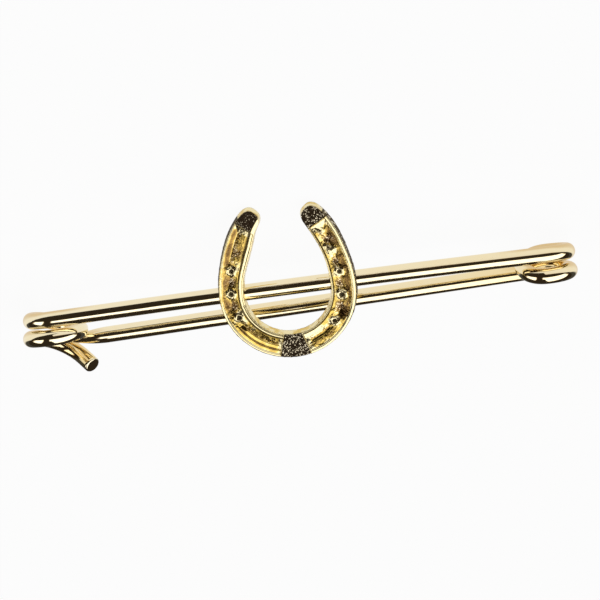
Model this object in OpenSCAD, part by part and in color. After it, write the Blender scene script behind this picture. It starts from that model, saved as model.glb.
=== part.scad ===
// Horseshoe stock pin: a bent round wire with a spring coil at one end and a catch coil
// at the other, a cast horseshoe soldered to its bar, and the pointed pin stem.
// Millimetres. Built square to its bar, with the bar along X, its front at -Y and the
// horseshoe's heels up, then turned to lie the way it rests on a table.

/* [Wire] */

// wire thickness
wire_d = 2.25; // [1.8:0.05:2.4]

// bar length from the horseshoe to the spring coil
bar_to_spring = 33.6; // [25:0.1:45]

// bar length from the horseshoe to the catch coil
bar_to_catch = 33.9; // [25:0.1:45]

// spring coil radius, to the middle of the wire
spring_radius = 3.15; // [2.8:0.05:4]

// catch coil radius, to the middle of the wire
catch_radius = 3.45; // [3.2:0.05:4]

/* [Tail of the catch] */

// radius where the catch coil opens out into the tail
flare_radius = 3.96; // [3.8:0.02:4.1]

// radius of the tail's curve under the pin
tail_radius = 6.6; // [5.5:0.1:7.5]

// angle of the tail's curve, up to its cut end
tail_sweep = 49; // [42:1:54]

/* [Pin stem] */

// stem length, root to point
stem_length = 66.9; // [62:0.1:67]

// length of the ground point
point_length = 6; // [3:0.5:12]

// flat left at the tip
tip_d = 0.24; // [0.1:0.02:0.6]

// saw-thin gap between the stem's root and the spring coil
root_gap = 0.06; // [0.04:0.01:0.2]

/* [Horseshoe] */

// casting thickness
shoe_thickness = 1.4; // [1.2:0.1:2.4]

// outer radius of the round toe at the back face
toe_outer = 9.45; // [8.8:0.05:10.5]

// inner radius of the round toe at the back face
toe_inner = 5.8; // [5:0.05:6.4]

// radius of the outer side of each branch
branch_outer = 16.4; // [15.5:0.1:18]

// radius of the inner side of each branch
branch_inner = 18.5; // [17:0.1:21]

// how far the side walls lean in from back to front
wall_lean = 0.2; // [0.1:0.05:0.4]

// radius of the rounded ends of the heels
heel_radius = 1.9; // [1.7:0.05:2.2]

// width of the raised rims
rim = 0.34; // [0.26:0.02:0.6]

// depth of the channel between the rims
channel_depth = 0.6; // [0.3:0.05:0.7]

// half angle of the plain pad at the toe
toe_pad_angle = 14.5; // [8:0.5:20]

// length of the plain pad at each heel, from the centre of its round end back
heel_pad = 0.8; // [0.4:0.1:2]

// nail hole size
nail_d = 0.9; // [0.5:0.05:1.4]

// nail hole depth below the channel
nail_depth = 0.4; // [0.1:0.05:0.6]

/* [Hidden] */

$fn = 72;
// coarser rounding for the bent wire
wire_fn = 20;
bend_fn = 36;

// bends of the wire, in order: [twist about the wire, radius, angle of the bend]
spring_bends = [
  [76.5, spring_radius, 180],
  [-27.3, spring_radius, 180],
  [-22.8, spring_radius, 180]
];
catch_bends = [
  [-76.9, catch_radius, 90],
  [16.1, catch_radius, 90],
  [5.1, catch_radius, 90],
  [15.8, catch_radius, 90],
  [5.4, catch_radius, 90],
  [24.6, flare_radius, 90],
  [32.3, tail_radius, tail_sweep]
];
// stem direction off the end of the spring coil: [pitch, yaw]
stem_aim = [0.95, 0.66];

// horseshoe place on the bar, and its slight turn
shoe_x = -1.3;
shoe_z = -0.12;
shoe_turn = -2.8;
solder = 0.3;
reach = 15;
toe_pad_turn = 3.3;
channel_slope = 0.3;
steep = channel_slope / channel_depth;
through = 0.35;
function lean_at(z) = wall_lean * z / shoe_thickness;
// centre of each rounded heel, and the lean of the branches there
heel_centre = [4.5, 10];
heel_lean = 32;
// nail holes as the photograph shows them, uneven: [side, height above the toe's centre]
nails = [[-7.3, 3.6], [-7.65, 0.3], [-6.85, -3.1], [7.3, 2.35], [7.35, -1.05], [5.9, -4.65]];

// at rest it lies tipped back on both coils and one heel, with the middle of its outline
// over the origin
rest_tip = -121.3;
rest_height = 5.595;
rest_centre = [-0.478, 0.495];

module bend_arc(bend) {
  rotate([bend[0], 0, 0]) translate([0, bend[1], 0]) rotate([0, 0, -90])
    rotate_extrude(angle = bend[2], $fn = bend_fn) translate([bend[1], 0])
      circle(d = wire_d, $fn = wire_fn);
}

module after_bend(bend) {
  rotate([bend[0], 0, 0]) translate([0, bend[1], 0]) rotate([0, 0, bend[2]])
    translate([0, -bend[1], 0]) children();
}

// draws each bend where the one before it ends
module bent_wire(bends, i = 0) {
  bend_arc(bends[i]);
  if (i < len(bends) - 1) after_bend(bends[i]) bent_wire(bends, i + 1);
}

// puts its child at the end of the bends
module at_wire_end(bends, i = 0) {
  if (i < len(bends)) after_bend(bends[i]) at_wire_end(bends, i + 1) children();
  else children();
}

module toward_spring() { translate([bar_to_spring, 0, 0]) rotate([-90, 0, 0]) children(); }
module toward_catch() { translate([-bar_to_catch, 0, 0]) rotate([-90, 0, 180]) children(); }

// toe side and heel side of a line across the toe's centre
module toe_side() { translate([-reach, -reach, -reach]) cube([2 * reach, reach, 2 * reach]); }
module heel_side() { translate([-reach, 0, -reach]) cube([2 * reach, reach, 2 * reach]); }

// solid inside one side of the horseshoe from z0 to z1, a half disc at the toe and a lens
// between two big circles above it, inset by in0 at z0 and by in1 at z1
module shoe_outline(toe_r, branch_r, z0, z1, in0, in1) {
  translate([0, 0, z0]) {
    intersection() {
      cylinder(h = z1 - z0, r1 = toe_r - in0, r2 = toe_r - in1);
      toe_side();
    }
    intersection() {
      translate([branch_r - toe_r, 0, 0])
        cylinder(h = z1 - z0, r1 = branch_r - in0, r2 = branch_r - in1);
      translate([toe_r - branch_r, 0, 0])
        cylinder(h = z1 - z0, r1 = branch_r - in0, r2 = branch_r - in1);
      heel_side();
    }
  }
}

module shoe_blank() {
  difference() {
    shoe_outline(toe_outer, branch_outer, 0, shoe_thickness, 0, wall_lean);
    shoe_outline(toe_inner, branch_inner, -through, shoe_thickness + through,
      lean_at(through), -lean_at(shoe_thickness + through));
    heel_trim();
  }
}

module at_heels() {
  for (side = [0, 1]) mirror([side, 0, 0])
    translate(heel_centre) rotate([0, 0, heel_lean]) children();
}

// everything past the centre of each heel's round end, outside that end
module heel_trim() {
  at_heels() difference() {
    translate([-4, 0, -through]) cube([8, 8, shoe_thickness + 2 * through]);
    translate([0, 0, -through]) cylinder(h = shoe_thickness + 2 * through,
      r1 = heel_radius + lean_at(through), r2 = heel_radius - lean_at(shoe_thickness + through));
  }
}

// the sunk channel between the rims, stopped by the plain pads at the toe and heels
module shoe_channel() {
  low = shoe_thickness - channel_depth;
  high = shoe_thickness + through;
  edge_low = wall_lean + rim + channel_slope;
  edge_high = edge_low - channel_slope * (channel_depth + through) / channel_depth;
  difference() {
    shoe_outline(toe_outer, branch_outer, low, high, edge_low, edge_high);
    shoe_outline(toe_inner, branch_inner, low - through, high + through,
      -edge_low - steep * through, -edge_high + steep * through);
    rotate([0, 0, toe_pad_turn - 90]) linear_extrude(height = reach)
      polygon([[0, 0], reach * [1, -tan(toe_pad_angle)], reach * [1, tan(toe_pad_angle)]]);
    at_heels() translate([-4, -heel_pad, 0]) cube([8, 9, reach]);
  }
}

module horseshoe() {
  difference() {
    shoe_blank();
    shoe_channel();
    for (p = nails) translate([p[0], p[1], shoe_thickness - channel_depth - nail_depth])
      cylinder(h = shoe_thickness, d = nail_d, $fn = 24);
  }
}

module pin_frame() {
  color("gold") {
    translate([-bar_to_catch, 0, 0]) rotate([0, 90, 0])
      cylinder(h = bar_to_catch + bar_to_spring, d = wire_d);
    toward_spring() bent_wire(spring_bends);
    toward_catch() bent_wire(catch_bends);
    translate([shoe_x, solder - wire_d / 2, shoe_z]) rotate([90, 0, 0])
      rotate([0, 0, shoe_turn]) horseshoe();
  }
}

module pin_stem() {
  color("goldenrod") toward_spring() at_wire_end(spring_bends)
    rotate([0, stem_aim[0], stem_aim[1]]) rotate([0, 90, 0]) {
      translate([0, 0, root_gap]) cylinder(h = stem_length - point_length - root_gap, d = wire_d);
      translate([0, 0, stem_length - point_length])
        cylinder(h = point_length, d1 = wire_d, d2 = tip_d);
    }
}

module at_rest() {
  translate([rest_centre[0], rest_centre[1], rest_height])
    rotate([0, 0, 180]) rotate([rest_tip, 0, 0]) children();
}

at_rest() pin_frame();
at_rest() pin_stem();
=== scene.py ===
"""Horseshoe stock pin: gold-plated bent wire with a cast horseshoe soldered to its bar.

Shapes are worked out in the bar's own frame, in millimetres: the bar along X, its front at -Y
and the horseshoe's heels at +Z. lay() then puts them where the part rests on the table.
"""
import math
from types import SimpleNamespace

import bmesh
import bpy
import numpy as np
from mathutils import Matrix


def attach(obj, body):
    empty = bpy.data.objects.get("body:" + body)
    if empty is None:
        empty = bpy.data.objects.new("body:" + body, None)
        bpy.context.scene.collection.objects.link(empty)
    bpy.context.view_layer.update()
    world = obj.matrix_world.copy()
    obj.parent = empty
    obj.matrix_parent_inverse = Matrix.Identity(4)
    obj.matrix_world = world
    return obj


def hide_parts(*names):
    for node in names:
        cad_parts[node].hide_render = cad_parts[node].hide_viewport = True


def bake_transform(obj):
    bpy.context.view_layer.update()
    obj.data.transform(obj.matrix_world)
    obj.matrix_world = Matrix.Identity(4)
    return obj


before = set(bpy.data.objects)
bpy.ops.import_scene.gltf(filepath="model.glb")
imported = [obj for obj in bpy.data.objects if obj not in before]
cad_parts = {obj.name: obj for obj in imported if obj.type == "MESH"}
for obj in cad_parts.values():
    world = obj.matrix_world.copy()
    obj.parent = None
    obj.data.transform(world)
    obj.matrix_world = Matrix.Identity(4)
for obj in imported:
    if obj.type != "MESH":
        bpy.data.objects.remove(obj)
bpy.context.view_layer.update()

MM = 0.001
X_AXIS = np.array([1.0, 0, 0])
DOWN = np.array([0, 0, -1.0])

# how the part rests, as in the part's source
REST_TIP = math.radians(-121.3)
REST_CENTRE = (-0.478, 0.495)
REST_HEIGHT = 5.595

# the wire, and the radius of its bar's slight bow
WIRE_R = 1.125
WIRE_SIDES = 72
BAR_TO_SPRING = 33.6
BAR_TO_CATCH = 33.9
BOW_RADIUS = 2300.0
# bends in order: [twist about the wire in degrees, radius, angle of the bend in degrees]
SPRING_BENDS = [
    [76.5, 3.15, 180],
    [-27.3, 3.15, 180],
    [-22.8, 3.15, 180],
]
CATCH_BENDS = [
    [-76.9, 3.45, 90],
    [16.1, 3.45, 90],
    [5.1, 3.45, 90],
    [15.8, 3.45, 90],
    [5.4, 3.45, 90],
    [14.2, 3.45, 37],
    [24.1, 4.7, 90],
]
# straight end of the tail
TAIL_END = 2.1
# points along the bar's line and the tail's
BAR_POINTS = 560
TAIL_POINTS = 20
# step along the whole wire's line, steps over which its bends are eased, and the wire's step
# from ring to ring
LINE_STEP = 0.1
EASED_OVER = 5.0
RING_STEP = 0.2

# the pin stem: its tip, and the length and end radius of its ground point
STEM_TIP = (-33.3, 5.3, -4.93)
POINT_LENGTH = 6.0
POINT_R = 0.1
# rings along its straight part and along its point
STEM_RINGS = 150
POINT_RINGS = 50
# its root starts inside the spring coil's end, and is a hair thinner for a short way
ROOT_INSIDE = 0.25
ROOT_SLIMMER = 0.006
ROOT_LENGTH = 1.2
# length of stem that bends when it swings; here it only places the point stem_free, which nothing
# uses
STEM_BEND = 10.0

# ends of the wire and stem: [distance past the end, share of the radius]
CUT = [[0.05, 0.985], [0.12, 0.95], [0.18, 0.89], [0.215, 0.82], [0.22, 0.76], [0.22, 0.1]]
POINT = [[0.05, 0.8], [0.09, 0.45], [0.1, 0.1]]
# a plain end, where the wire and the stem run into each other
BUTT = [[0.002, 1.0], [0.004, 0.998], [0.004, 0.9], [0.004, 0.2]]
# yellower plate, which where it is strongest, by the coils, is partly painted reflection of the
# coils: [distance along, how yellow]
WIRE_PLATE_AND_REFLECTION = [
    [-0.02, 0.1], [0.2, 0.85], [4, 0.8], [10, 0.15], [30, 0.0], [60, 0.1], [95, 0.22],
    [130, 0.25], [135.6, 0.9],
]
STEM_PLATE_AND_REFLECTION = [[0, 0.9], [6, 0.6], [16, 0.3], [40, 0.2], [67, 0.1]]

# the horseshoe, in its own plane: x across, y towards the heels, z out of its face
SHOE_AT = (-1.3, -0.825, -0.12)
SHOE_TURN = math.radians(-2.8)
SHOE_THICK = 1.4
WALL_LEAN = 0.2
# rounding of the face's edge
ARRIS = 0.12
TOE_OUTER = 9.45
TOE_INNER = 5.8
# radius of each branch's edges, how far round them the heel starts, and a branch's length
BRANCH_OUTER = 16.4
BRANCH_INNER = 18.5
OUTER_SWEEP = math.radians(40.9)
INNER_SWEEP = math.radians(30.05)
BRANCH_LONG = 11.0
# the rounded heels: length past the branch, and power of their superellipse
HEEL_LONG = 1.95
HEEL_CURVE = 2.8
# how far each branch's edges stand out at its heel
OUTER_SWELL = {"left": 0.42, "right": 0.50}
INNER_SWELL = 0.20
# how far the inner edge stands out halfway up each branch
INNER_BULGE = {"left": 0.40, "right": 0.0}
# where these start and are full, or start to end and have ended, as shares of a branch
SWELL_RISES = (0.35, 1.0)
BULGE_RISES = (0.1, 0.55)
BULGE_FALLS = (0.65, 1.0)

# rows and points of the horseshoe's skin
TOE_ROWS = 200
HEEL_ROWS = 190
SINK_ROWS = 10
FACE_POINTS = 96
BACK_POINTS = 9
# heights of the walls' points, and the back's inset at its edge
WALL_LEVELS = [1.24, 1.05, 0.8, 0.55, 0.3, 0.1, 0.03]
BACK_INSET = 0.03

# the heels' pads: the middle of each branch where its rounding starts, length back from
# there, and lean of the border
HEEL_CENTRE = (4.5, 10.0)
HEEL_PAD = 0.72
HEEL_LEAN = {"left": math.radians(36), "right": math.radians(31)}
# the toe's pad: turn about the toe's centre, shift aside, and its half width and flare
# from the radius where it starts
TOE_PAD_TURN = math.radians(2.4)
TOE_PAD_ASIDE = 0.12
TOE_PAD_START = 6.0
TOE_PAD_HALF = 1.22
TOE_PAD_FLARE = 0.30

# section of the channel: [share of the width from the outer edge, depth]
OUTER_RIM = [[0.0, 0.0], [0.085, 0.0]]
INNER_RIM = [
    [0.785, 0.26], [0.81, 0.26], [0.835, 0.03], [0.90, 0.03], [0.925, 0.12], [0.95, 0.0],
    [1.0, 0.0],
]
SECTION = OUTER_RIM + [
    [0.12, 0.15], [0.40, 0.47], [0.45, 0.52], [0.47, 0.50], [0.61, 0.19], [0.765, 0.13],
] + INNER_RIM
# the same at the toe, where the outer side of the channel is shallow
TOE_LEFT = OUTER_RIM + [
    [0.12, 0.16], [0.26, 0.16], [0.29, 0.28], [0.32, 0.24], [0.46, 0.24], [0.50, 0.42],
    [0.62, 0.22], [0.765, 0.10],
] + INNER_RIM
TOE_RIGHT = OUTER_RIM + [
    [0.12, 0.18], [0.36, 0.24], [0.41, 0.44], [0.47, 0.50], [0.61, 0.19], [0.765, 0.13],
] + INNER_RIM
# how far below the toe's centre the toe's sections start, and where they hold alone
TOE_BLEND = (3.6, 5.2)
# the groove's share of the width in those sections, and where it really runs on each side
GROOVE = 0.80
GROOVE_AT = {"left": 0.80, "right": 0.93}
# the channel's ends: depth at a pad's border, and its slope from there
END_DEPTH = 0.08
END_SLOPE = 0.42
RIGHT_HEEL_SLOPE = 0.30

# nail holes: [x, y, radius of the hole, how far its boss fills the channel]
NAILS = [
    [-7.32, 3.57, 0.33, 0.80],
    [-7.66, 0.28, 0.33, 0.75],
    [-6.88, -3.10, 0.33, 0.85],
    [7.31, 2.30, 0.31, 0.80],
    [7.33, -1.04, 0.37, 0.75],
    [5.95, -4.62, 0.31, 0.80],
]
NAIL_DEPTH = 0.45
BOSS_REACH = 0.72
# raised lip round each hole: distance out from the hole's edge, width and height
LIP_OUT = 0.19
LIP_WIDTH = 0.14
LIP_HEIGHT = 0.085
# plain swellings across the channel: [x, y, reach, how far it fills the channel]
SADDLES = [
    [6.44, 5.38, 0.75, 0.85],
    [5.55, 8.1, 0.7, 0.55],
]
# sunk places between the bosses: [x, y, reach, depth]
HOLLOWS = [
    [-6.05, 6.0, 0.75, 0.07],
    [-7.40, 1.95, 0.55, 0.12],
    [-7.40, -1.55, 0.60, 0.12],
    [6.15, 6.9, 0.60, 0.11],
    [6.85, 3.8, 0.60, 0.13],
    [7.00, 0.65, 0.65, 0.11],
    [6.80, -2.55, 0.75, 0.14],
]

# cast roughness: [height, cell, seed]
WAVY = [[0.026, 0.85, 3], [0.020, 0.40, 5]]
GRAINY = [[0.018, 0.21, 7], [0.009, 0.11, 9]]
WALL_GRAIN = [[0.022, 0.28, 21], [0.014, 0.12, 23]]
# the walls' noise runs round at this radius, and up from this place in it
WALL_NOISE_R = 9
WALL_NOISE_UP = 3
# the pads' stipple: depth of its dots, and their spacing
STIPPLE_DEPTH = 0.05
STIPPLE_CELL = 0.20

# where a form or finish starts along a branch and is full, or starts to end and has ended, as y
LEFT_FLANK = (-3.5, -1.5)
RIGHT_FLANK = (-5.0, -3.6)
LEFT_FLANK_PALER = (6.5, 8.0)
LEFT_RIM_BRIGHT = (5, 7)
LEFT_VALLEY_SWING = (3.8, 5.2)
LEFT_VALLEY_HIGHLIGHT = (4.2, 5.0)
SECOND_GROOVE_END = (-2.0, 1.0)
# the same for the painted highlight on the toe's right half, as y below the toe's centre
TOE_HIGHLIGHT = (4.6, 5.6)

# farther than any border or dot
FAR = 9.0


def turned(points, tip):
    """Turns points about X by an angle and then half a turn about Z."""
    c = math.cos(tip)
    s = math.sin(tip)
    y = points[..., 1] * c - points[..., 2] * s
    z = points[..., 1] * s + points[..., 2] * c
    return np.stack([-points[..., 0], -y, z], axis=-1)


def lay(points):
    """Bar frame in millimetres to the table's frame in metres."""
    moved = turned(np.asarray(points, float), REST_TIP)
    return (moved + np.array([REST_CENTRE[0], REST_CENTRE[1], REST_HEIGHT])) * MM


def bowed(points):
    """The bar's slight bow: a point drops by x squared over twice the bow's radius."""
    out = np.array(points, float)
    out[..., 2] -= out[..., 0] ** 2 / (2 * BOW_RADIUS)
    return out


# meshes

def surface(name, points):
    """A closed skin over a grid of points, row by row, each row a closed ring.

    The first and last rows are closed with one flat face each."""
    rows, ring = points.shape[:2]
    index = np.arange(rows * ring).reshape(rows, ring)
    after = np.roll(index, -1, axis=1)
    quads = np.stack([index[:-1], after[:-1], after[1:], index[1:]], axis=-1).reshape(-1, 4)
    loops = np.concatenate([quads.ravel(), index[0, ::-1], index[-1]])
    sizes = np.concatenate([np.full(len(quads), 4), [ring, ring]])
    starts = np.concatenate([[0], np.cumsum(sizes)[:-1]])
    mesh = bpy.data.meshes.new(name)
    mesh.vertices.add(rows * ring)
    mesh.vertices.foreach_set("co", points.astype(np.float32).ravel())
    mesh.loops.add(len(loops))
    mesh.loops.foreach_set("vertex_index", loops.astype(np.int32))
    mesh.polygons.add(len(sizes))
    mesh.polygons.foreach_set("loop_start", starts.astype(np.int32))
    mesh.polygons.foreach_set("use_smooth", np.ones(len(sizes), bool))
    mesh.update(calc_edges=True)
    piece = bpy.data.objects.new(name, mesh)
    bpy.context.scene.collection.objects.link(piece)
    return piece


def map_lengths(piece, along, around):
    """UV map of a skin: a row's length along it, and a ring point's length around it.

    around gives the first point again at its end. The two end faces stay at zero."""
    shape = (len(along), len(around) - 1)
    u = np.broadcast_to(along[:, None], shape)
    v = np.broadcast_to(around[:-1], shape)
    v_after = np.broadcast_to(around[1:], shape)
    corner_u = np.stack([u[:-1], u[:-1], u[1:], u[1:]], axis=-1)
    corner_v = np.stack([v[:-1], v_after[:-1], v_after[1:], v[1:]], axis=-1)
    corners = np.zeros((len(piece.data.loops), 2))
    corners[:corner_u.size] = np.stack([corner_u.ravel(), corner_v.ravel()], axis=-1)
    layer = piece.data.uv_layers.new(name="wire_map")
    layer.data.foreach_set("uv", corners.astype(np.float32).ravel())


def mark(piece, name, values):
    """Stores one number per point for the materials."""
    layer = piece.data.attributes.new(name, "FLOAT", "POINT")
    layer.data.foreach_set("value", np.asarray(values, np.float32).ravel())


def weld(piece):
    """Merges points that fell on the same place."""
    shape = bmesh.new()
    shape.from_mesh(piece.data)
    bmesh.ops.remove_doubles(shape, verts=shape.verts, dist=1e-7)
    shape.to_mesh(piece.data)
    shape.free()


# curves and noise

def rise(x, low, high):
    """Smooth step from 0 at low to 1 at high."""
    t = np.clip((x - low) / (high - low), 0.0, 1.0)
    return t * t * (3 - 2 * t)


def bell(x, width):
    """1 at x of 0, falling away on both sides as e to the minus square of x over width."""
    return np.exp(-(x / width) ** 2)


# points each way before the noise repeats, and a shift that keeps its cells positive
LATTICE = 97
LATTICE_SHIFT = 200.0


def lattice(shape, seed):
    """Random numbers from 0 to 1, the same on each run."""
    return np.random.default_rng(seed).random(shape)


def cells(x, y, cell):
    """The lattice cell that each point lies in, and the point's place in it from 0 to 1."""
    u = x / cell + LATTICE_SHIFT
    v = y / cell + LATTICE_SHIFT
    i = np.floor(u).astype(int)
    j = np.floor(v).astype(int)
    return i, j, u - i, v - j


def cloud(x, y, cell, seed):
    """Value noise: random numbers on a square lattice, blended smoothly, from -1 to 1."""
    table = lattice((LATTICE, LATTICE), seed)
    i, j, u, v = cells(x, y, cell)
    u = u * u * (3 - 2 * u)
    v = v * v * (3 - 2 * v)
    i0 = i % LATTICE
    i1 = (i + 1) % LATTICE
    j0 = j % LATTICE
    j1 = (j + 1) % LATTICE
    near = table[i0, j0] * (1 - u) + table[i1, j0] * u
    far = table[i0, j1] * (1 - u) + table[i1, j1] * u
    return (near * (1 - v) + far * v) * 2 - 1


def clouds(x, y, layers):
    """Sum of value noise, one layer for each [height, cell, seed]."""
    return sum(height * cloud(x, y, cell, seed) for height, cell, seed in layers)


def pits(x, y, cell, seed):
    """Distance to the nearest of the lattice's jittered points, in cells."""
    jitter = lattice((LATTICE, LATTICE, 2), seed)
    i, j, u, v = cells(x, y, cell)
    best = np.full(np.shape(x), FAR)
    for di in (-1, 0, 1):
        for dj in (-1, 0, 1):
            at = jitter[(i + di) % LATTICE, (j + dj) % LATTICE]
            best = np.minimum(best, np.hypot(u - di - at[..., 0], v - dj - at[..., 1]))
    return best


# the bent wire and the pin stem

def run_bends(point, heading, side, bends, step=0.12):
    """Centre line through a chain of bends, the side vector carried along it, and its heading.

    Each bend turns the side about the heading by its twist, then goes round a circle
    towards that side. The carried side is turned back by the twists so far, so that it
    never spins about the wire."""
    line = []
    sides = []
    spin = 0.0
    for twist, radius, angle in bends:
        turn = math.radians(twist)
        spin += turn
        side = side * math.cos(turn) + np.cross(heading, side) * math.sin(turn)
        across = np.cross(heading, side)
        centre = point + side * radius
        sweep = math.radians(angle)
        t = np.linspace(0, sweep, max(8, int(radius * sweep / step)))[:, None]
        line.append((centre - radius * (np.cos(t) * side - np.sin(t) * heading))[1:])
        inward = side * np.cos(t) - heading * np.sin(t)
        sides.append((inward * math.cos(spin) - across * math.sin(spin))[1:])
        heading, side = (
            heading * math.cos(sweep) + side * math.sin(sweep),
            side * math.cos(sweep) - heading * math.sin(sweep),
        )
        point = line[-1][-1]
    return np.concatenate(line), np.concatenate(sides), heading


def eased(line, sigma):
    """Softens the change of curvature between bends with a moving average.

    The weights are a bell of width sigma in steps, and the line's ends stay in place."""
    reach = int(3 * sigma)
    weight = np.exp(-0.5 * (np.arange(-reach, reach + 1) / sigma) ** 2)
    weight /= weight.sum()
    first = 2 * line[:1] - line[reach:0:-1]
    last = 2 * line[-1:] - line[-2:-reach - 2:-1]
    padded = np.concatenate([first, line, last])
    return np.stack([np.convolve(padded[:, k], weight, "valid") for k in range(3)], axis=1)


def even(line, sides, step):
    """Resamples a line at equal steps along its length, and gives the length at each."""
    length = np.concatenate([[0], np.cumsum(np.linalg.norm(np.diff(line, axis=0), axis=1))])
    at = np.linspace(0, length[-1], int(length[-1] / step))
    out = np.stack([np.interp(at, length, line[:, k]) for k in range(3)], axis=1)
    out_sides = np.stack([np.interp(at, length, sides[:, k]) for k in range(3)], axis=1)
    return out, out_sides, at


def wire_path():
    """The whole wire from the tail, round the catch coil and along the bar to the spring coil.

    The catch coil and its tail run away from the bar, so they are taken backwards."""
    spring, spring_sides, _ = run_bends(
        np.array([BAR_TO_SPRING, 0, 0]), X_AXIS, DOWN, SPRING_BENDS)
    catch, catch_sides, heading = run_bends(
        np.array([-BAR_TO_CATCH, 0, 0]), -X_AXIS, DOWN, CATCH_BENDS)
    tail_at = np.linspace(LINE_STEP, TAIL_END, TAIL_POINTS)
    tail = catch[-1] + heading * tail_at[:, None]
    tail_sides = np.repeat(catch_sides[-1:], len(tail), 0)
    bar_x = np.linspace(-BAR_TO_CATCH, BAR_TO_SPRING, BAR_POINTS)
    bar = bar_x[:, None] * X_AXIS
    bar_sides = np.repeat(DOWN[None], len(bar), 0)
    line = np.concatenate([tail[::-1], catch[::-1], bar, spring])
    sides = np.concatenate([tail_sides[::-1], catch_sides[::-1], bar_sides, spring_sides])
    line, sides, _ = even(line, sides, LINE_STEP)
    return even(bowed(eased(line, EASED_OVER)), sides, RING_STEP)


def tube(name, line, sides, along, radius, start_rings, end_rings, deep):
    """A round tube: centre plus radius times cosine of side plus sine of across.

    The rings past each end keep the heading and side of the line there."""
    heading = np.gradient(line, axis=0)
    heading /= np.linalg.norm(heading, axis=1)[:, None]
    sides = sides - heading * np.sum(sides * heading, axis=1)[:, None]
    sides /= np.linalg.norm(sides, axis=1)[:, None]
    start = np.array(start_rings[::-1], float)
    end = np.array(end_rings, float)
    last = len(line) - 1
    row = np.concatenate([np.zeros(len(start), int), np.arange(len(line)), np.full(len(end), last)])
    past = np.concatenate([-start[:, 0], np.zeros(len(line)), end[:, 0]])
    share = np.concatenate([start[:, 1], np.ones(len(line)), end[:, 1]])
    head = heading[row]
    side = sides[row]
    across = np.cross(head, side)
    centre = line[row] + head * past[:, None]
    length = along[row] + past
    turn = np.linspace(0, 2 * math.pi, WIRE_SIDES + 1)
    t = turn[:-1][None, :, None]
    grid = centre[:, None] + (radius[row] * share)[:, None, None] * (
        np.cos(t) * side[:, None] + np.sin(t) * across[:, None])
    piece = surface(name, lay(grid))
    map_lengths(piece, length, turn * WIRE_R)
    # deep: the yellower plate, strongest by the coils, where it is partly painted reflection of
    # them
    deep = np.array(deep, float)
    mark(piece, "deep", np.repeat(np.interp(length, deep[:, 0], deep[:, 1]), WIRE_SIDES))
    return piece


def make_stem(root, way, length):
    """The pin stem: straight from its root, with a radius that falls to its point as a sine."""
    at = np.concatenate([
        np.linspace(-ROOT_INSIDE, length - POINT_LENGTH, STEM_RINGS),
        np.linspace(length - POINT_LENGTH + 0.1, length - 0.1, POINT_RINGS),
    ])
    to_point = np.clip((length - at) / POINT_LENGTH, 0, 1)
    radius = POINT_R + (WIRE_R - POINT_R) * np.sin(to_point * math.pi / 2) ** 0.9
    radius -= ROOT_SLIMMER * (1 - rise(at, 0.0, ROOT_LENGTH))
    sides = np.repeat(DOWN[None], len(at), 0)
    return tube("stem", root + way * at[:, None], sides, at, radius, BUTT, POINT, STEM_PLATE_AND_REFLECTION)


wire_line, wire_sides, wire_along = wire_path()
wire_radius = np.full(len(wire_line), WIRE_R)
wire = tube("wire", wire_line, wire_sides, wire_along, wire_radius, CUT, BUTT, WIRE_PLATE_AND_REFLECTION)

root = wire_line[-1]
stem_run = bowed(np.array(STEM_TIP)) - root
stem_length = float(np.linalg.norm(stem_run))
stem_way = stem_run / stem_length
stem = make_stem(root, stem_way, stem_length)


# the cast horseshoe

def by_side(x, table):
    """Picks the left or right side's value for each point."""
    return np.where(x < 0, table["left"], table["right"])


def outline(sigma, width, inset):
    """Point of the horseshoe's plane for sigma along it and width from 0 inside to 1 outside.

    Below the toe's centre the two edges are circles about it. Above, each edge is its own
    big circle, which swells a little at the heel. Sigma is 0 at the toe, 1 level with the
    toe's centre and 2 where the rounded heel starts, and it is negative on the left."""
    s = np.abs(sigma)
    toe_outer = TOE_OUTER - inset
    toe_inner = TOE_INNER + inset
    toe_r = toe_inner + (toe_outer - toe_inner) * width
    angle = -math.pi / 2 + np.minimum(s, 1.0) * math.pi / 2
    up = np.maximum(s - 1.0, 0.0)
    swell = rise(up, *SWELL_RISES)
    bulge = by_side(sigma, INNER_BULGE) * rise(up, *BULGE_RISES) * (1 - rise(up, *BULGE_FALLS))
    outer_r = BRANCH_OUTER - inset + by_side(sigma, OUTER_SWELL) * swell
    inner_r = BRANCH_INNER + inset - INNER_SWELL * swell - bulge
    outer_x = TOE_OUTER - BRANCH_OUTER + outer_r * np.cos(up * OUTER_SWEEP)
    outer_y = outer_r * np.sin(up * OUTER_SWEEP)
    inner_x = TOE_INNER - BRANCH_INNER + inner_r * np.cos(up * INNER_SWEEP)
    inner_y = inner_r * np.sin(up * INNER_SWEEP)
    on_toe = s < 1.0
    x = np.where(on_toe, toe_r * np.cos(angle), inner_x + (outer_x - inner_x) * width)
    y = np.where(on_toe, toe_r * np.sin(angle), inner_y + (outer_y - inner_y) * width)
    return np.where(sigma < 0, -x, x), y


def heel_stop(width, inset):
    """sigma of the heel's end: past 2 by a superellipse in the share of the width."""
    out = (1 - np.abs(2 * width - 1) ** HEEL_CURVE) ** (1 / HEEL_CURVE)
    return 2.0 + (HEEL_LONG - inset) / BRANCH_LONG * out


def pad_gap(x, y):
    """How far a point of the face lies outside the nearest pad's border, negative inside it.

    The toe's pad widens evenly with the distance from the toe's centre, and each heel's pad
    starts at a leaning line."""
    c = math.cos(TOE_PAD_TURN)
    s = math.sin(TOE_PAD_TURN)
    aside = np.abs(x * c + y * s + TOE_PAD_ASIDE)
    ahead = x * s - y * c
    toe_gap = aside - TOE_PAD_HALF - TOE_PAD_FLARE * (ahead - TOE_PAD_START)
    lean = by_side(x, HEEL_LEAN)
    heel_x = np.abs(x) - HEEL_CENTRE[0]
    heel_y = y - HEEL_CENTRE[1]
    heel_gap = heel_x * np.sin(lean) - heel_y * np.cos(lean) - HEEL_PAD
    return np.where(y < 0, toe_gap, np.where(y > 5, heel_gap, FAR))


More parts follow.
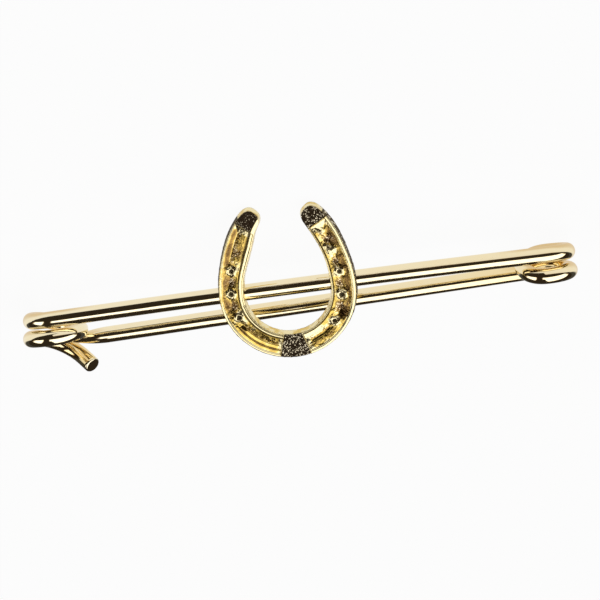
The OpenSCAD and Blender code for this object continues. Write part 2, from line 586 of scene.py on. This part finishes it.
def channel_share(x, y, share):
    """Share of the width in the channel's section, from the share of the real width.

    It is stretched so that the groove comes where it runs on that side, and the left branch's
    valley swings to the outer side above its first nail."""
    groove_at = by_side(x, GROOVE_AT)
    share = np.where(share < groove_at, share / groove_at * GROOVE,
                     GROOVE + (share - groove_at) / (1 - groove_at) * (1 - GROOVE))
    swing = np.where(x < 0, 0.15 * rise(y, *LEFT_VALLEY_SWING), 0.0)
    return share + swing * 4 * share * np.maximum(GROOVE - share, 0) / GROOVE ** 2


def section(share, table):
    """Depth of the channel across its width, with softened corners."""
    at = np.array([row[0] for row in table])
    deep = np.array([row[1] for row in table])
    taps = (-0.012, -0.006, 0.0, 0.006, 0.012)
    return sum(np.interp(share + tap, at, deep) for tap in taps) / len(taps)


def bosses(x, y):
    """How far the nails' bosses fill the channel, with their lips and their holes.

    A boss is a bell of the distance from its hole, and its lip a narrow bell just outside it.
    The distance wavers, so that no boss is quite round."""
    filled = np.zeros_like(x)
    lip = np.zeros_like(x)
    hole = np.zeros_like(x)
    waver = 0.07 * cloud(x, y, 0.3, 31)
    for nail_x, nail_y, nail_r, fill in NAILS:
        away = np.hypot(x - nail_x, y - nail_y) + waver
        filled = np.maximum(filled, fill * bell(away, BOSS_REACH))
        lip += bell(away - nail_r - LIP_OUT, LIP_WIDTH)
        hole = np.maximum(hole, 1 - rise(away, nail_r * 0.6, nail_r * 1.1))
    return filled, lip, hole


def shoe_relief(x, y, share, edge):
    """Height of the face above its back, and the forms that its finish follows.

    A V channel runs between two narrow rims and stops at the flat stippled pads of the toe
    and the heels. Bosses and saddles fill it in part, and hollows deepen it."""
    gap = pad_gap(x, y)
    channel = rise(gap, 0.04, 0.16)
    inside = rise(share, 0.10, 0.16) * (1 - rise(share, GROOVE, 0.84))
    # the left heel's pad stops at the groove, and its inner rim runs on beside it
    beside = np.where((x < 0) & (y > 0), rise(share, 0.81, 0.84), 0.0)
    pad = (1 - rise(gap, -0.03, 0.03)) * (1 - beside)
    # the channel's ends rise to the pads
    right_heel = (x > 0) & (y > 0)
    hip = 1 - rise(gap, 0.3, np.where(right_heel, 1.3, 1.0))
    slope = np.where(right_heel, RIGHT_HEEL_SLOPE, END_SLOPE)
    at_toe = rise(-y, *TOE_BLEND)
    toe_depth = np.where(x < 0, section(share, TOE_LEFT), section(share, TOE_RIGHT))
    depth = section(share, SECTION) * (1 - at_toe) + toe_depth * at_toe
    depth = np.minimum(depth, END_DEPTH + slope * np.maximum(gap, 0.0))
    filled, lip, hole = bosses(x, y)
    saddle = np.zeros_like(x)
    for at_x, at_y, reach, fill in SADDLES:
        saddle = np.maximum(saddle, fill * bell(np.hypot(x - at_x, y - at_y), reach))
    filled = np.maximum(filled, saddle)
    hollow = np.zeros_like(x)
    for at_x, at_y, reach, drop in HOLLOWS:
        near = bell(np.hypot(x - at_x, y - at_y), reach)
        depth = depth + inside * drop * near
        hollow = np.maximum(hollow, near)
    depth = depth * (1 - filled * inside * 0.85)
    # cast roughness, less on the shallow outer band at the toe's left
    calm = np.where(x < 0, at_toe * (1 - rise(share, 0.46, 0.50)), 0.0)
    grain = 0.5 + 0.9 * hollow + 0.3 * filled
    rough = (clouds(x, y, WAVY) + grain * clouds(x, y, GRAINY)) * (1 - 0.7 * calm)
    height = SHOE_THICK - channel * (depth - inside * rough)
    height += channel * inside * (LIP_HEIGHT * lip - NAIL_DEPTH * hole)
    # the pads' stipple, which fades out at the face's edge
    dots = 1 - rise(pits(x, y, STIPPLE_CELL, 11), 0.12, 0.55)
    stipple = STIPPLE_DEPTH * dots + 0.012 * cloud(x, y, 0.12, 13)
    height -= pad * stipple * rise(edge, 0.03, 0.15)
    # worn rims, uneven along their length
    height -= (1 - inside) * channel * 0.012 * (1 + cloud(x, y, 0.6, 17))
    form = SimpleNamespace(
        channel=channel, inside=inside, pad=pad, beside=beside, hip=hip, at_toe=at_toe,
        depth=depth, filled=filled, lip=lip, hole=hole, saddle=saddle, hollow=hollow, calm=calm)
    return height, form


def shoe_masks(x, y, share, form):
    """Where each finish, painted highlight and painted shade of the face shows, from 0 to 1, worked
    out from its forms.
    """
    # painted highlights: the left branch's valley line, the toe's right half inside, the hips
    painted_highlight_places = bell(share - 0.455, 0.03) * np.where(x < 0, rise(y, *LEFT_VALLEY_HIGHLIGHT), 0.0)
    painted_highlight_places += rise(share, 0.50, 0.56) * (1 - rise(share, 0.74, 0.80)) * np.where(
        x > 0, rise(-y, *TOE_HIGHLIGHT), 0.0)
    painted_highlight_places += np.where(x > 0, 0.9, 0.4) * np.where(y > 0, form.hip, 0.0)
    # the nails' lips and the saddles get painted highlights too
    bright = np.clip(np.clip(painted_highlight_places, 0, 1) + form.lip + 0.4 * form.saddle, 0, 1)
    # painted shade: the outer side of the channel is browner along the branches, and the left rim
    # less pale
    painted_flank_shade = bell(share - 0.25, 0.12) * (1 - form.hip)
    painted_flank_shade *= np.where(x < 0, rise(y, *LEFT_FLANK), rise(y, *RIGHT_FLANK))
    painted_flank_shade *= np.where(x < 0, 1.0 - 0.3 * rise(y, *LEFT_FLANK_PALER), 0.95)
    painted_flank_shade = np.maximum(painted_flank_shade, 0.7 * bell(share - 0.28, 0.05) * form.at_toe)
    dull = 0.8 * rise(y, *LEFT_FLANK) * (1 - rise(y, *LEFT_RIM_BRIGHT))
    dull = np.where((x < 0) & (share < 0.2), dull, 0)
    # grain along the valley, in the hollows and on the bosses: bumps, dark specks, and bright
    # specks of painted glint
    texture = bell(share - 0.55, 0.08) + 0.8 * form.hollow + 0.5 * form.filled + 0.45 * painted_flank_shade
    texture *= (1 - 0.7 * form.saddle) * np.where(x > 0, 1 - form.hip, 1.0)
    # painted shade along the groove, and a fainter second line towards the toe
    groove = bell(share - GROOVE, 0.028)
    second_groove = 0.7 * bell(share - 0.925, 0.016) * (1 - rise(y, *SECOND_GROOVE_END))
    floor_of_channel = form.channel * form.inside
    left_heel = (x < 0) & (y > 0)
    # the masks: boss and rim carry painted highlights, the rims partly wear too; hole, sunk, hollow
    # and groove carry painted shade; speckled and faint set the pads' painted glints
    return {
        "pad": form.pad,
        "hole": floor_of_channel * form.hole,
        "sunk": np.clip(form.channel * np.maximum(form.depth / 0.5, 0.45 * form.inside), 0, 1),
        "texture": floor_of_channel * np.clip(texture, 0, 1),
        "hollow": floor_of_channel * np.maximum(form.hollow, painted_flank_shade) * (1 - form.filled),
        "boss": floor_of_channel * np.clip(form.filled * 1.3 + form.hip * 0.7, 0, 1),
        "rim": np.maximum(
            form.beside, form.channel * (1 - dull) * np.maximum(1 - form.inside, bright)),
        "groove": form.channel * np.maximum(groove, second_groove),
        "calm": form.calm,
        "speckled": form.pad * np.where(y < 0, 1.0, np.where(x < 0, 0.66, 0.78)),
        "faint": form.pad * np.where(left_heel, 0.55, 0.0),
    }


def shoe_rows():
    """Places along the horseshoe from one heel round the toe to the other.

    They lie a little closer towards the heels. At each heel the last rows sink from the face's
    edge to the back, which makes the end wall, so each row also has a share sunk."""
    toe_rows = np.linspace(0, 1, TOE_ROWS)
    heel_rows = 1.0 + np.linspace(0, 1, HEEL_ROWS) ** 0.92
    sink = np.linspace(0, 1, SINK_ROWS)[1:]
    half_rows = np.concatenate([toe_rows[:-1], heel_rows, np.full(len(sink), 2.0)])
    half_sunk = np.concatenate([np.zeros(len(half_rows) - len(sink)), sink])
    along = np.concatenate([-half_rows[::-1], half_rows[1:]])[:, None]
    sunk = np.concatenate([half_sunk[::-1], half_sunk[1:]])[:, None]
    return along, sunk


# the four stretches of the horseshoe's section
FACE, OUTER_WALL, BACK, INNER_WALL = range(4)


def shoe_ring():
    """Places round the section: across the face, down the outer wall, over the back, up again.

    Each has a share of the width, a height above the back, and the stretch that it is on."""
    t = np.linspace(0, 1, FACE_POINTS)
    face = 0.5 * t + 0.5 * (0.5 - 0.5 * np.cos(math.pi * t))
    back = np.linspace(1, 0, BACK_POINTS)[1:-1]
    wall = len(WALL_LEVELS)
    width = np.concatenate([face, np.ones(wall), back, np.zeros(wall)])
    level = np.concatenate([
        np.full(len(face), SHOE_THICK), WALL_LEVELS, np.zeros(len(back)), WALL_LEVELS[::-1]])
    stretch = np.repeat([FACE, OUTER_WALL, BACK, INNER_WALL], [len(face), wall, len(back), wall])
    return width, level, stretch


def make_horseshoe():
    """One closed skin over shoe_rows and shoe_ring. What folds up at the heels is merged."""
    along, sunk = shoe_rows()
    width, level, stretch = shoe_ring()
    top = np.where(sunk > 0, (SHOE_THICK - ARRIS) * (1 - sunk), SHOE_THICK)
    z = np.minimum(level[None], top)
    inset = np.where(stretch == BACK, BACK_INSET, WALL_LEAN * z / SHOE_THICK)
    past = np.maximum(np.abs(along) - 1, 0)
    s = np.where(past > 0, 1 + past * (heel_stop(width[None], inset) - 1), np.abs(along))
    sigma = np.where(along < 0, -s, s)
    x, y = outline(sigma, np.broadcast_to(width, sigma.shape), inset)
    # distances from the face's edges, for the relief
    inner_x, inner_y = outline(sigma, np.zeros_like(sigma), inset)
    outer_x, outer_y = outline(sigma, np.ones_like(sigma), inset)
    from_inner = np.hypot(x - inner_x, y - inner_y)
    from_outer = np.hypot(x - outer_x, y - outer_y)
    from_end = (2 - np.abs(along)) * BRANCH_LONG
    edge = np.minimum(np.minimum(from_outer, from_inner), from_end)
    share = channel_share(x, y, from_outer / (from_outer + from_inner))
    height, form = shoe_relief(x, y, share, edge)
    masks = shoe_masks(x, y, share, form)
    # the face's edge is rounded as a quarter circle
    lack = np.clip(1 - edge / ARRIS, 0, 1)
    rounded = ARRIS * (1 - np.sqrt(np.maximum(1 - lack ** 2, 0)))
    on_face = (stretch == FACE)[None] & (sunk == 0)
    z = np.where(on_face, height - rounded, z)
    # rough cast walls, pushed out and in from the toe's centre
    around = np.arctan2(y, x) * WALL_NOISE_R
    grain = clouds(around, z + WALL_NOISE_UP, WALL_GRAIN) * (1 - rise(np.abs(along), 1.8, 2.0))
    outward = (stretch == OUTER_WALL) * 1.0 - (stretch == INNER_WALL) * 1.0
    push = grain * outward[None] / np.hypot(x, y)
    x = x * (1 + push)
    y = y * (1 + push)
    # turn, and stand it on the front of the bar
    c = math.cos(SHOE_TURN)
    s = math.sin(SHOE_TURN)
    grid = np.stack([
        SHOE_AT[0] + x * c - y * s,
        SHOE_AT[1] - z,
        SHOE_AT[2] + x * s + y * c,
    ], axis=-1)
    shoe = surface("horseshoe", lay(grid))
    for name, values in masks.items():
        mark(shoe, name, np.where(on_face, values, 0.0))
    # the outer wall gets more painted glints on the right
    on_wall = (stretch == OUTER_WALL)[None] & (sunk == 0)
    mark(shoe, "outer_wall", on_wall)
    mark(shoe, "wall_glint", on_wall * (0.15 + 0.75 * rise(sigma, -0.5, 0.5)))
    weld(shoe)
    return shoe


horseshoe = make_horseshoe()


# materials

class Value:
    """A socket's value that adds Math nodes when it is used in an expression."""

    def __init__(self, tree, socket):
        self.tree = tree
        self.socket = socket

    def output(self, name):
        """Another output of the same node."""
        return Value(self.tree, self.socket.node.outputs[name])

    def math(self, operation, *items):
        """A Math node on the items, which are values or numbers."""
        node = self.tree.nodes.new("ShaderNodeMath")
        node.operation = operation
        for socket, item in zip(node.inputs, items):
            plug(self.tree, socket, item)
        return Value(self.tree, node.outputs[0])

    def __add__(self, other):
        return self.math("ADD", self, other)

    def __radd__(self, other):
        return self.math("ADD", other, self)

    def __sub__(self, other):
        return self.math("SUBTRACT", self, other)

    def __rsub__(self, other):
        return self.math("SUBTRACT", other, self)

    def __mul__(self, other):
        return self.math("MULTIPLY", self, other)

    def __rmul__(self, other):
        return self.math("MULTIPLY", other, self)

    def high(self, other):
        return self.math("MAXIMUM", self, other)

    def low(self, other):
        return self.math("MINIMUM", self, other)

    def size(self):
        return self.math("ABSOLUTE", self)

    def step(self, low, high, a=0.0, b=1.0):
        """Smooth step from a at low to b at high."""
        node = self.tree.nodes.new("ShaderNodeMapRange")
        node.interpolation_type = "SMOOTHSTEP"
        items = {"Value": self, "From Min": low, "From Max": high, "To Min": a, "To Max": b}
        for name, item in items.items():
            plug(self.tree, node.inputs[name], item)
        return Value(self.tree, node.outputs["Result"])


def plug(tree, socket, item):
    """Links a value to a socket, or sets the socket's own number, vector or colour."""
    if isinstance(item, Value):
        tree.links.new(item.socket, socket)
    elif socket.type == "RGBA":
        socket.default_value = (*item, 1.0)
    else:
        socket.default_value = item


class Finish:
    """A material's or world's node tree, with one method for any node."""

    def __init__(self, tree):
        self.tree = tree
        tree.nodes.clear()

    def node(self, kind, sockets=None, settings=None, out=0):
        """A node's output. Its settings are made first, then its sockets' values or links."""
        made = self.tree.nodes.new(kind)
        for key, value in (settings or {}).items():
            setattr(made, key, value)
        for key, item in (sockets or {}).items():
            plug(self.tree, made.inputs[key], item)
        return Value(self.tree, made.outputs[out])

    def blend(self, factor, a, b):
        """Colour mix from a to b."""
        return self.node("ShaderNodeMix", {0: factor, 6: a, 7: b}, {"data_type": "RGBA"}, 2)

    def noise(self, where, scale, detail=3.0, roughness=0.55):
        return self.node("ShaderNodeTexNoise", {
            "Vector": where, "Scale": scale, "Detail": detail, "Roughness": roughness})

    def stretched(self, where, scale):
        return self.node("ShaderNodeMapping", {"Vector": where, "Scale": scale})

    def bump(self, height, strength, distance):
        return self.node("ShaderNodeBump", {
            "Height": height, "Strength": strength, "Distance": distance})

    def stored(self, name):
        """A number that mark() stored on the piece."""
        return self.node("ShaderNodeAttribute", None, {"attribute_name": name}, "Fac")

    def coordinates(self, name):
        return self.node("ShaderNodeTexCoord", out=name)

    def axes(self, vector):
        """The three numbers of a vector."""
        x = self.node("ShaderNodeSeparateXYZ", {"Vector": vector})
        return x, x.output("Y"), x.output("Z")

    def camera_ray(self):
        """1 where the camera itself looks, and 0 in reflections."""
        return self.node("ShaderNodeLightPath", out="Is Camera Ray")

    def show(self, shader, kind="ShaderNodeOutputMaterial"):
        """Wires a shader to the tree's output node."""
        made = self.tree.nodes.new(kind)
        self.tree.links.new(shader.socket, made.inputs["Surface"])


def new_finish(name):
    material = bpy.data.materials.new(name)
    material.use_nodes = True
    return material, Finish(material.node_tree)


def polished_gold():
    """Drawn wire, plated: fine lines along it, faint waves and rubbed places."""
    material, f = new_finish("polished_gold")
    pale = (0.90, 0.80, 0.56)
    plate_and_reflection_yellow = (0.88, 0.68, 0.32)
    along = f.node("ShaderNodeUVMap", None, {"uv_map": "wire_map"})
    lines = f.noise(f.stretched(along, (0.12, 7.0, 1.0)), 1.0, 4.0)
    waves = f.noise(f.stretched(along, (0.22, 0.5, 1.0)), 1.0, 1.0)
    rub = f.noise(f.coordinates("Object"), 900.0)
    # deep: yellower plate, by the coils partly painted reflection of them, and rubbed places a
    # little yellower
    deep = f.stored("deep") + rub.step(0.4, 0.8, 0.0, 0.12)
    shader = f.node("ShaderNodeBsdfPrincipled", {
        "Metallic": 1.0,
        "Base Color": f.blend(deep, pale, plate_and_reflection_yellow),
        "Roughness": rub.step(0.45, 0.75, 0.035, 0.075),
        "Normal": f.bump(lines * 0.35 + waves * 1.5, 0.05, 0.0002),
    })
    f.show(shader)
    return material


def cast_gold():
    """The casting: rims pale partly with wear and partly as painted highlight, a grainy deep-yellow
    channel with painted shade and painted glints, and dark stippled pads, partly blackened and
    partly painted reflection.
    """
    material, f = new_finish("cast_gold")
    light = (0.85, 0.73, 0.41)
    yellow = (0.70, 0.49, 0.115)
    brown = (0.31, 0.185, 0.055)
    deepest_shade_brown = (0.13, 0.072, 0.024)
    pit_brown = (0.075, 0.042, 0.018)
    groove_shade_brown = (0.05, 0.03, 0.012)
    hole_shade_brown = (0.05, 0.035, 0.02)
    wall_shade_brown = (0.042, 0.027, 0.013)
    pad_black_and_reflection = (0.037, 0.023, 0.012)
    glint_gold = (0.92, 0.80, 0.56)
    pad = f.stored("pad")
    hole = f.stored("hole")
    sunk = f.stored("sunk")
    hollow = f.stored("hollow")
    boss = f.stored("boss")
    rim = f.stored("rim")
    wall = f.stored("outer_wall")
    groove = f.stored("groove")
    texture = f.stored("texture")
    spot = f.coordinates("Object")
    grain = f.noise(spot, 3800.0, 4.0, 0.65)
    patches = f.noise(spot, 700.0)
    glint = f.noise(spot, 4600.0, 2.0)
    # the channel, from pale on the rims and bosses to brown where it is sunk: painted highlight, on
    # the rims partly wear too, and painted shade in the recesses
    tone = sunk.step(0.1, 0.9) * 0.7 + hollow * 0.95 - boss + patches.step(0.38, 0.62) * 0.55
    # bright grains lighten it: painted glints
    tone = tone - glint.step(0.52, 0.60) * texture * 0.7 - rim * 0.9
    colour = f.blend(tone.step(0.0, 0.55), light, yellow)
    colour = f.blend(tone.step(0.5, 1.3), colour, brown)
    colour = f.blend(tone.step(1.15, 1.9), colour, deepest_shade_brown)
    # dark specks, and bright specks that are painted glints
    colour = f.blend(glint.step(0.46, 0.39) * texture * 0.95, colour, pit_brown)
    gleam = glint.step(0.54, 0.60) * texture.step(0.4, 0.9) * 0.75
    colour = f.blend(gleam, colour, glint_gold)
    # painted shade in the groove and the nail holes
    colour = f.blend(groove * 0.95, colour, groove_shade_brown)
    colour = f.blend(hole * 0.9, colour, hole_shade_brown)
    # the pads: partly a blackened finish and partly painted dark reflection, with a painted glint
    # in some of the cells
    dot = f.node("ShaderNodeTexVoronoi", {"Vector": spot, "Scale": 4300.0})
    luck = dot.output("Color") - (1 - f.stored("speckled"))
    speck = dot.step(0.46, 0.26) * luck.step(0.10, 0.25) * (1 - f.stored("faint"))
    colour = f.blend(pad, colour, f.blend(speck, pad_black_and_reflection, glint_gold))
    # the outer wall: painted shade, with painted glints
    wall_speck = f.noise(spot, 2800.0, 2.0).step(0.585, 0.62) * f.stored("wall_glint")
    colour = f.blend(wall * 0.95, colour, f.blend(wall_speck, wall_shade_brown, glint_gold))
    # the painted dark of the pads, wall, holes and groove is not metal, so that its colour shows
    dull = (pad * (1 - speck)).high(wall * (1 - wall_speck) * 0.85).high(hole).high(groove * 0.7)
    smooth = rim.high(f.stored("calm")) * 0.75
    height = grain * (0.42 + texture * 0.45 + pad * 0.78 + wall * 1.18) * (1 - smooth)
    shader = f.node("ShaderNodeBsdfPrincipled", {
        "Metallic": 1 - dull * 0.97 - pad * speck * 0.4,
        "Specular IOR Level": 0.02,
        "Base Color": colour,
        "Roughness": 0.11 + sunk * 0.04 + hollow * 0.05 - rim * 0.05 + dull * 0.42,
        "Normal": f.bump(height, 0.9, 0.00008),
    })
    f.show(shader)
    return material


gold = polished_gold()
cast = cast_gold()
for piece, material, slot in (
        (wire, gold, "polished_gold"),
        (stem, gold, "polished_gold"),
        (horseshoe, cast, "cast_gold")):
    piece.data.materials.append(material)

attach(wire, "pin_frame")
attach(horseshoe, "pin_frame")
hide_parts("pin_frame")
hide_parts("pin_frame")
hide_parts("pin_stem")
stem_free = lay(root + stem_way * STEM_BEND)
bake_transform(stem)


# camera at the photograph's angle: elevation, side step and roll in the bar's frame
CAMERA_UP = math.radians(17.0)
CAMERA_SIDE = math.radians(5.0)
CAMERA_ROLL = math.radians(8.932)
CAMERA_AWAY = 520.0
SENSOR_MM = 36.0
# the photograph's width in pixels, its scale, and the pixel that shows the bar frame's origin
PICTURE = 600.0
PIXELS_PER_MM = 7.37
ORIGIN_PIXEL = (297.545, 285.5)


def make_camera():
    """A long lens at CAMERA_AWAY from the bar, shifted so that the origin meets its pixel."""
    back = np.array([
        math.sin(CAMERA_SIDE) * math.cos(CAMERA_UP),
        -math.cos(CAMERA_SIDE) * math.cos(CAMERA_UP),
        math.sin(CAMERA_UP),
    ])
    right = np.array([math.cos(CAMERA_SIDE), math.sin(CAMERA_SIDE), 0.0])
    up = np.cross(back, right)
    c = math.cos(CAMERA_ROLL)
    s = math.sin(CAMERA_ROLL)
    axes = turned(np.stack([right * c - up * s, right * s + up * c, back]), REST_TIP)
    place = lay(back * CAMERA_AWAY)
    rows = [[axes[0][k], axes[1][k], axes[2][k], place[k]] for k in range(3)]
    lens = bpy.data.cameras.new("camera")
    lens.sensor_width = SENSOR_MM
    lens.lens = PIXELS_PER_MM * CAMERA_AWAY * SENSOR_MM / PICTURE
    lens.shift_x = (PICTURE / 2 - ORIGIN_PIXEL[0]) / PICTURE
    lens.shift_y = -(PICTURE / 2 - ORIGIN_PIXEL[1]) / PICTURE
    lens.clip_start = 0.01
    lens.clip_end = 20.0
    camera = bpy.data.objects.new("camera", lens)
    camera.matrix_world = Matrix(rows + [[0, 0, 0, 1]])
    bpy.context.scene.collection.objects.link(camera)
    bpy.context.scene.camera = camera


def paper():
    """The floor's finish, which glows like a lit table.

    The camera sees it evenly white. In reflections it is dark behind the pin and far in front
    on the catch coil's side, and has a warm painted shadow under the coils. Places are in metres."""
    material, f = new_finish("paper")
    black = (0.0, 0.0, 0.0)
    white = (1.0, 1.0, 1.0)
    warm = (0.74, 0.58, 0.38)
    seen_white = (0.945, 0.945, 0.945)
    x, y, _ = f.axes(f.coordinates("Object"))
    catch_front = x.step(0.012, 0.026) * y.step(-0.065, -0.045, 0.95, 0.0)
    glow = y.step(0.012, 0.019, 0.93, 0.03) * (1 - catch_front)
    aside = x.size()
    # painted shadow under the coils, warm, seen only in reflections
    painted_coil_shadow = aside.step(0.027, 0.033) * (1 - aside.step(0.038, 0.046))
    painted_coil_shadow = painted_coil_shadow * y.step(-0.008, -0.001)
    reflected = f.blend(glow, black, f.blend(painted_coil_shadow * 0.75, white, warm))
    shader = f.node("ShaderNodeBsdfPrincipled", {
        "Base Color": (0.04, 0.04, 0.04),
        "Roughness": 1.0,
        "Specular IOR Level": 0.0,
        "Emission Color": f.blend(f.camera_ray(), reflected, seen_white),
        "Emission Strength": 1.0,
    })
    f.show(shader)
    return material


def make_floor():
    """A wide square at the height that the part rests on."""
    half = 3.0
    corners = [(-half, -half, 0), (half, -half, 0), (half, half, 0), (-half, half, 0)]
    mesh = bpy.data.meshes.new("floor")
    mesh.from_pydata(corners, [], [(0, 1, 2, 3)])
    mesh.materials.append(paper())
    floor = bpy.data.objects.new("floor", mesh)
    bpy.context.scene.collection.objects.link(floor)
    return floor


def between(value, low, high, edge):
    """1 from low to high and 0 outside, with soft edges."""
    return (value - low).step(-edge, edge) * (1 - (value - high).step(-edge, edge))


def make_studio():
    """Dark room with a bright low band, a bright front below the horizon, and two softboxes.

    The softboxes are overhead, in line. Lamps are placed by the direction's x and by the angle
    from the front horizon over the top, in degrees. The camera itself sees plain white."""
    world = bpy.data.worlds.new("studio")
    bpy.context.scene.world = world
    world.use_nodes = True
    f = Finish(world.node_tree)
    dark = (0.028, 0.021, 0.015)
    warm = (0.80, 0.52, 0.28)
    white = (1.0, 1.0, 1.0)
    seen_white = (0.97, 0.97, 0.97)
    x, y, z = f.axes(f.coordinates("Generated"))
    angle = z.math("ARCTAN2", z, y * -1.0) * (180.0 / math.pi)
    low_band = between(angle, -70.0, x.step(0.02, 0.13, 25.0, -8.0), 5.0)
    front_below = (1 - z.step(-0.02, 0.0)) * (1 - y.step(0.0, 0.2))
    long_box_end = x.step(-0.02, 0.17, 136.0, 92.0)
    long_box = between(angle, 68.0, long_box_end, 3.0) * between(x, -0.95, 0.26, 0.04)
    end_box = between(angle, 62.0, 118.0, 3.0) * between(x, 0.60, 0.95, 0.04)
    light = (low_band.high(front_below) * 0.93).high(long_box.high(end_box) * 1.8)
    tint = f.blend(light.step(0.35, 0.92), warm, white)
    lit = f.node("ShaderNodeBackground", {
        "Color": f.blend(light.low(1.0), dark, tint), "Strength": light.high(1.0)})
    plain = f.node("ShaderNodeBackground", {"Color": seen_white, "Strength": 1.0})
    shown = f.node("ShaderNodeMixShader", {0: f.camera_ray(), 1: lit, 2: plain})
    f.show(shown, "ShaderNodeOutputWorld")


make_camera()
floor = make_floor()
make_studio()

view = bpy.context.scene.view_settings
view.view_transform = "Standard"
view.look = "None"
